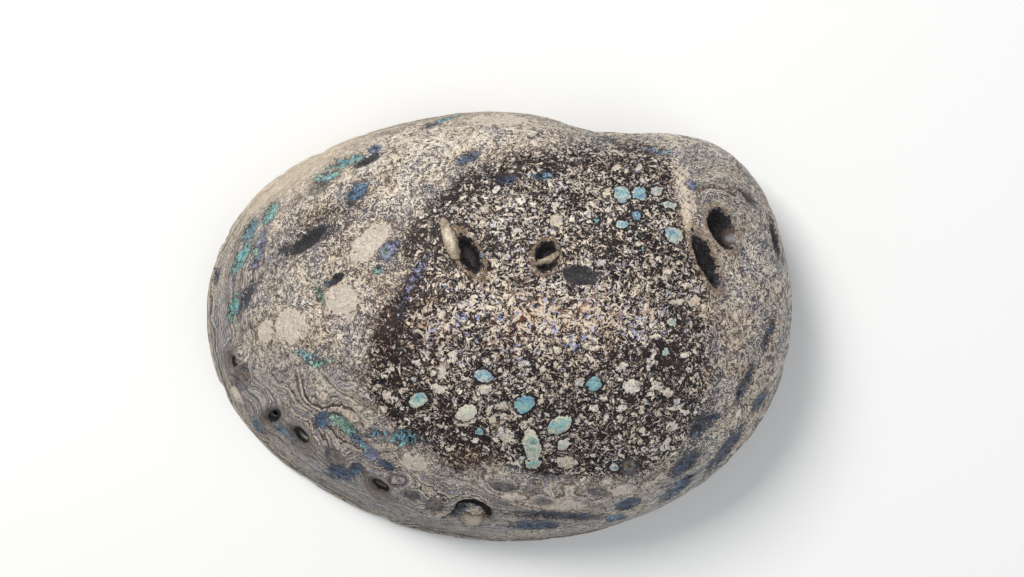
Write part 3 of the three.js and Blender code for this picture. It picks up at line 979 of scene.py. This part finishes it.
CREAM, PALE, TAN = colour(208, 194, 174), colour(226, 218, 204), colour(172, 150, 128)
BROWN, UMBER, BLACK = colour(96, 62, 46), colour(52, 34, 28), colour(16, 11, 12)
RUST, SLATE = colour(184, 136, 80), colour(72, 84, 108)

# %% Speckled crust
crown_shows = rise(kept("crown") + ragged * 1.1 + coarse * 0.8, -0.6, 0.6)
dark_level = kept("inner_dark") * crown_shows + kept("outer_dark") * (1 - crown_shows)
outer_speckle = dust * 0.42 + fine * 0.42 + medium * 0.35 + coarse * 0.3 + ragged * 0.15
inner_speckle = coarse * 0.45 + medium * 0.6 + fine * 0.55
speckle = inner_speckle * crown_shows + outer_speckle * (1 - crown_shows) - worms * 0.22
over = speckle * 1.7 - (dark_level - 0.5) * 2.9 - lumps * 0.15
cream_tone = blend(rise(lumps + ragged * 0.5, -0.8, 0.8), CREAM, PALE)
cream_tone = blend(rise(fine + medium * 0.5, 0.1, 0.9) * 0.5, cream_tone, TAN)
cream_tone = blend(rise(chance, 0.62, 0.66) * 0.3, cream_tone, colour(176, 172, 176))
stain = rise(coarse * 0.6 + lumps * 0.5, 0.1, 1.0) * (1 - crown_shows)
cream_tone = blend(stain * 0.45, cream_tone, colour(150, 134, 120))
rusty = kept("rust")
cream_tone = blend(rusty * rise(ragged * 0.6 + coarse * 0.5, -0.2, 0.7) * 0.8, cream_tone, RUST)
fleck_share = kept("flecks")
fleck_tone = blend(rise(chance, 0.9, 0.94), colour(142, 146, 186), colour(92, 122, 186))
cream_tone = blend(fleck_share * (1 - rise(chance, 0.12, 0.15)), cream_tone, colour(112, 66, 52))
cream_tone = blend(fleck_share * rise(chance, 0.86, 0.89) * 0.9, cream_tone, fleck_tone)
ground_tone = blend(rise(medium * 0.5 + rusty + ragged * 0.4 + lumps * 0.2, -0.2, 0.7), BLACK, UMBER)
faded_tone = blend(rise(lumps + ragged * 0.5, -0.6, 0.6), colour(78, 66, 60), colour(66, 70, 84))
ground_tone = blend((1 - crown_shows) * (1 - rise(dark_level, 0.5, 0.66)), ground_tone, faded_tone)
edge_tone = blend(rise(ragged + rusty * 1.2, -0.3, 0.6), colour(96, 88, 90), colour(112, 80, 62))
speckled = blend(rise(over, -0.36, -0.14), ground_tone, edge_tone)
speckled = blend(rise(over, -0.08, 0.14), speckled, cream_tone)

# %% Layers in contour lines
layered = kept("layers")
cool_share = kept("cool")
contour = kept("growth") + ragged * 0.35 + medium * 0.14
band = (bands_of(contour, 1.35, 3, 0.6) - 0.5) * 4.4 * (1 - kept("calm") * 0.55)
broad = (bands_of(contour, 0.28, 2, 0.5) - 0.5) * 4
layer_tone = ramp(
    band * 0.75 + broad * 0.2 + 0.63 - cool_share * 0.08 + kept("calm") * 0.06,
    (0.1, colour(30, 25, 28)), (0.28, colour(82, 66, 58)), (0.42, colour(154, 132, 112)), (0.54, CREAM),
    (0.78, PALE), (1.0, colour(136, 136, 152)))

# %% Bluish parts: partly where the crust is thin over the nacre, partly painted shade and a painted reflection of blue surroundings
streak = (bands_of(contour * 0.5 + 31, 1.3, 3, 0.6) - 0.5) * 4.4
blue_tone = ramp(
    streak * 0.6 + ragged * 0.1 + 0.54, (0.12, colour(30, 38, 56)), (0.3, colour(66, 82, 108)),
    (0.46, colour(112, 126, 146)), (0.6, colour(158, 158, 162)), (0.74, CREAM), (0.98, colour(120, 170, 178)))
lilac_tone = ramp(
    streak * 0.6 + ragged * 0.1 + 0.54, (0.12, colour(40, 36, 52)), (0.32, colour(98, 94, 120)),
    (0.5, colour(146, 140, 154)), (0.68, CREAM), (0.96, colour(104, 158, 160)))
cool_tone = blend(rise(lumps + coarse * 0.3, -0.3, 0.7), blue_tone, lilac_tone)
cool_shows = rise(cool_share + ragged * 0.16 + lumps * 0.2 - band * 0.12, 0.3, 0.85)
skin = blend(cool_shows * 0.85, speckled, cool_tone)
skin = blend(layered * rise(over, -0.9, -0.2) * (1 - cool_shows * 0.45), skin, layer_tone)
thin_line = line_at(bands_of(contour + 7, 0.95, 2, 0.5) - 0.5, 0.008, 0.04)
skin = blend(thin_line * layered * 0.88, skin, UMBER)
skin = blend(kept("calm") * rise(band * 0.6 + ragged * 0.25, -0.9, 0.1) * 0.75, skin, colour(204, 188, 166))

# %% Chalk: smooth pale patches with a thin outline
chalk = kept("chalk") + ragged * 0.75
chalk_tone = blend(rise(fine + coarse * 0.6, -0.8, 1.0), colour(212, 203, 190), colour(184, 171, 155))
chalk_tone = blend(1 - rise(medium + fine * 0.4, -1.0, -0.7), chalk_tone, BROWN)
skin = blend(rise(chalk, -0.1, 0.35), skin, chalk_tone)
skin = blend(line_at(chalk, 0.05, 0.22) * 0.75, skin, BROWN)

# %% Nacre
TINTS = ((0.02, colour(54, 64, 82)), (0.2, colour(54, 78, 112)), (0.4, colour(86, 136, 178)),
         (0.6, colour(128, 190, 196)), (0.8, colour(126, 174, 140)), (0.97, colour(138, 138, 182)))
swirl = (grain_of(stirred, 0.5, 3, 0.6, 1.2) - 0.5) * 5
veins = line_at(grain_of(stirred, 0.9, 2, 0.5, 1.5) - 0.5, 0.01, 0.05)


def nacre_tone(tint, glow):
    """The play of colour of nacre round one tint."""
    tone = ramp(tint + swirl * 0.2, *TINTS)
    tone = blend(rise(streak + fine * 0.6, 0.1, 1.2) * glow, tone, PALE)
    tone = blend(rise(-1 * streak - fine * 0.5, 0.1, 1.3) * 0.65, tone, colour(44, 54, 78))
    return blend(veins * 0.55, tone, BLACK)


window = kept("window") + ragged * 0.7 + coarse * 0.3 + medium * 0.15 + 0.1
window_shows = rise(window, 0.0, 0.18)
skin = blend((rise(window, -0.36, -0.1) - window_shows) * 0.9, skin, UMBER)
window_tone = nacre_tone(kept("window_tint"), 0.4)
window_tone = blend(1 - rise(over - dark_level, -1.15, -0.6), window_tone, BLACK)
skin = blend(window_shows * 0.9, skin, window_tone)

# %% Islands
pebble = kept("pebble") + ragged * 0.45 + medium * 0.2
isle = coarse_isles * 0.9 + medium * 0.15 + kept("isles") * 1.6 - 2.3
pebble = pebble.combine("MAXIMUM", pebble, isle)
pebble_shows = rise(pebble, -0.02, 0.16)
skin = blend((rise(pebble, -0.45, -0.15) - pebble_shows) * 0.8, skin, BLACK)
skin = blend(pebble_shows * rise(over, -1.6, -0.9), skin, cream_tone)

disc = kept("disc") + ragged * 0.3 + coarse * 0.22
disc_shows = rise(disc, 0.0, 0.16)
disc_tone = blend(0.28, nacre_tone(kept("disc_tint"), 0.5), colour(124, 124, 118))
disc_pale = kept("disc_pale")
worn_pale = rise(swirl * 0.5 + medium * 0.4 - disc * 0.4 + disc_pale * 2 - 1, -0.5, 0.5)
disc_tone = blend(worn_pale * 0.85, disc_tone, CREAM)
disc_tone = blend(line_at(disc - 0.6 + ragged * 0.3, 0.03, 0.16) * 0.6, disc_tone, SLATE)
skin = blend((rise(disc, -0.5, -0.2) - disc_shows) * 0.9, skin, BLACK)
skin = blend(disc_shows, skin, disc_tone)

# %% Pores, hollows and the groove
eye = kept("sealed") + ragged * 0.2
eye_tone = ramp(
    eye * 0.25 + 0.25, (0.0, CREAM), (0.16, colour(110, 104, 102)), (0.27, colour(50, 52, 64)),
    (0.42, colour(104, 106, 114)), (0.55, colour(150, 130, 108)), (0.7, colour(70, 58, 54)))
skin = blend(rise(eye, -0.5, 0.2) * 0.65, skin, eye_tone)
mouth = kept("pore") + ragged * 0.15
collar_tone = blend(rise(bands_of(mouth, 1.8, 1), 0.44, 0.56), colour(146, 136, 126), colour(74, 66, 66))
skin = blend(rise(mouth, -2.4, -1.5) * 0.65, skin, collar_tone)
skin = blend(rise(mouth, -0.8, -0.25) * 0.6, skin, colour(86, 74, 68))
# The open pores are painted black down into their bores: painted shade in the holes.
skin = blend(rise(mouth, -0.12, 0.15), skin, BLACK)

pit = kept("hollow") + ragged * 0.45 + coarse * 0.2 + 0.4
pit_depth = kept("hollow_depth")
pit_rings = (bands_of(pit, 2.2, 1) - 0.5) * 5
# Inside the hollows the colour is near black, and blacker the deeper the hollow: partly their own dark fill,
# partly painted shade.
pit_fill_shade_and_glint = blend(rise(pit_rings + fine * 0.4, 0.1, 0.8) * 0.35, BLACK, colour(74, 76, 84))
pit_fill_shade_and_glint = blend((1 - rise(pit_depth, 1.6, 1.8)) * 0.6, pit_fill_shade_and_glint, colour(58, 58, 62))
# The glint is a painted highlight on the hollow's wall, with a brownish fringe round its pale middle.
glint = kept("glint") + ragged * 0.08 + fine * 0.06
pit_fill_shade_and_glint = blend(rise(glint, 0.2, 0.7) * 0.8, pit_fill_shade_and_glint, colour(92, 76, 66))
pit_fill_shade_and_glint = blend(rise(glint, 0.75, 1.25) * 0.8, pit_fill_shade_and_glint, colour(152, 154, 160))
pit_fill_shade_and_glint = blend(rise(medium + fine, 0.2, 1.4) * 0.35, pit_fill_shade_and_glint, colour(96, 90, 88))
pit_brim = (rise(pit, -0.9, -0.3) - rise(pit, 0.0, 0.1)) * rise(pit_depth, 1.8, 2.0)
skin = blend(pit_brim * 0.6, skin, colour(138, 112, 86))
# The hollows take their dark fill, their painted shade and the painted glint.
skin = blend(rise(pit, 0.0, 0.45) * rise(pit_depth, 0.1, 1.0), skin, pit_fill_shade_and_glint)
# The arch-shaped groove is painted black: painted shade in the hole under the arch.
skin = blend(rise(kept("arch") + ragged * 0.15, 0.0, 0.35), skin, BLACK)
slab = kept("slab") + ragged * 0.15
slab_tone = blend(rise(slab + fine * 0.3, 0.2, 1.2), colour(150, 136, 118), CREAM)
slab_tone = blend(1 - rise(medium + fine * 0.5, -1.0, -0.6), slab_tone, BROWN)
skin = blend(line_at(slab, 0.05, 0.25) * 0.7, skin, UMBER)
skin = blend(rise(slab, 0.0, 0.2), skin, slab_tone)

# %% The rim and the pearly inside
margin = kept("margin")
skin = blend((1 - rise(margin + ragged, 0.3, 1.6)) * 0.6, skin, CREAM)
lining = kept("lining")
flow = bands_of(kept("inside_growth") + swirl * 1.6, 0.16, 3, 0.6)
pearl = ramp(
    flow + lumps * 0.1, (0.28, colour(92, 136, 170)), (0.4, colour(124, 172, 164)),
    (0.5, colour(172, 182, 168)), (0.6, colour(182, 146, 160)), (0.72, colour(104, 156, 132)))
ragged_scar = kept("scar") + ragged * 0.05 + lumps * 0.09
pearl = blend(rise(ragged_scar, 0.0, 0.25) * 0.4, pearl, colour(84, 126, 116))
pearl = blend(line_at(ragged_scar, 0.0, 0.12) * 0.35, pearl, colour(84, 98, 88))
final_tone = blend(rise(lining + ragged * 0.06, 0.35, 0.6), skin, pearl)

# %% Gloss and fine relief
nacre_share = window_shows + disc_shows
roughness = 0.6 - 0.12 * rise(over, -0.3, 0.3) - 0.24 * nacre_share + 0.1 * rise(chalk, 0.0, 0.35)
roughness = roughness * (1 - lining) + 0.24 * lining
relief = (rise(over, -0.4, 0.5) * 0.2 + band * layered * 0.09 - thin_line * layered * 0.07
          + fine * 0.025 + ragged * 0.02) * (1 - lining) * (1 - disc_shows * 0.8)

shader = tree.nodes["Principled BSDF"]
shader.inputs["IOR"].default_value = 1.5
shader.inputs["Specular IOR Level"].default_value = 0.25
bump = node("ShaderNodeBump", {}, {"Strength": 1.0, "Distance": MM, "Height": relief})
tree.links.new(final_tone.socket, shader.inputs["Base Color"])
tree.links.new(roughness.socket, shader.inputs["Roughness"])
tree.links.new(bump.outputs["Normal"], shader.inputs["Normal"])
shell_mesh.materials.clear()
shell_mesh.materials.append(crust)
print(len(tree.nodes), "nodes in the material")

# %% [markdown]
# ## Floor and hand-over
#
# A plain pale floor, then the piece is tied to the part it stands for.

# %% The floor
floor_mesh = bpy.data.meshes.new("floor")
bm = bmesh.new()
bmesh.ops.create_grid(bm, x_segments=1, y_segments=1, size=2)
bm.to_mesh(floor_mesh)
bm.free()
floor = bpy.data.objects.new("floor", floor_mesh)
bpy.context.collection.objects.link(floor)
paper = bpy.data.materials.new("paper")
paper.use_nodes = True
paper.node_tree.nodes["Principled BSDF"].inputs["Base Color"].default_value = (0.72, 0.72, 0.71, 1)
paper.node_tree.nodes["Principled BSDF"].inputs["Roughness"].default_value = 0.8
floor_mesh.materials.append(paper)
print("the floor is", [round(v, 2) for v in floor.dimensions], "m")

# %% Hand-over
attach(shell, "root")
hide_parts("shell")
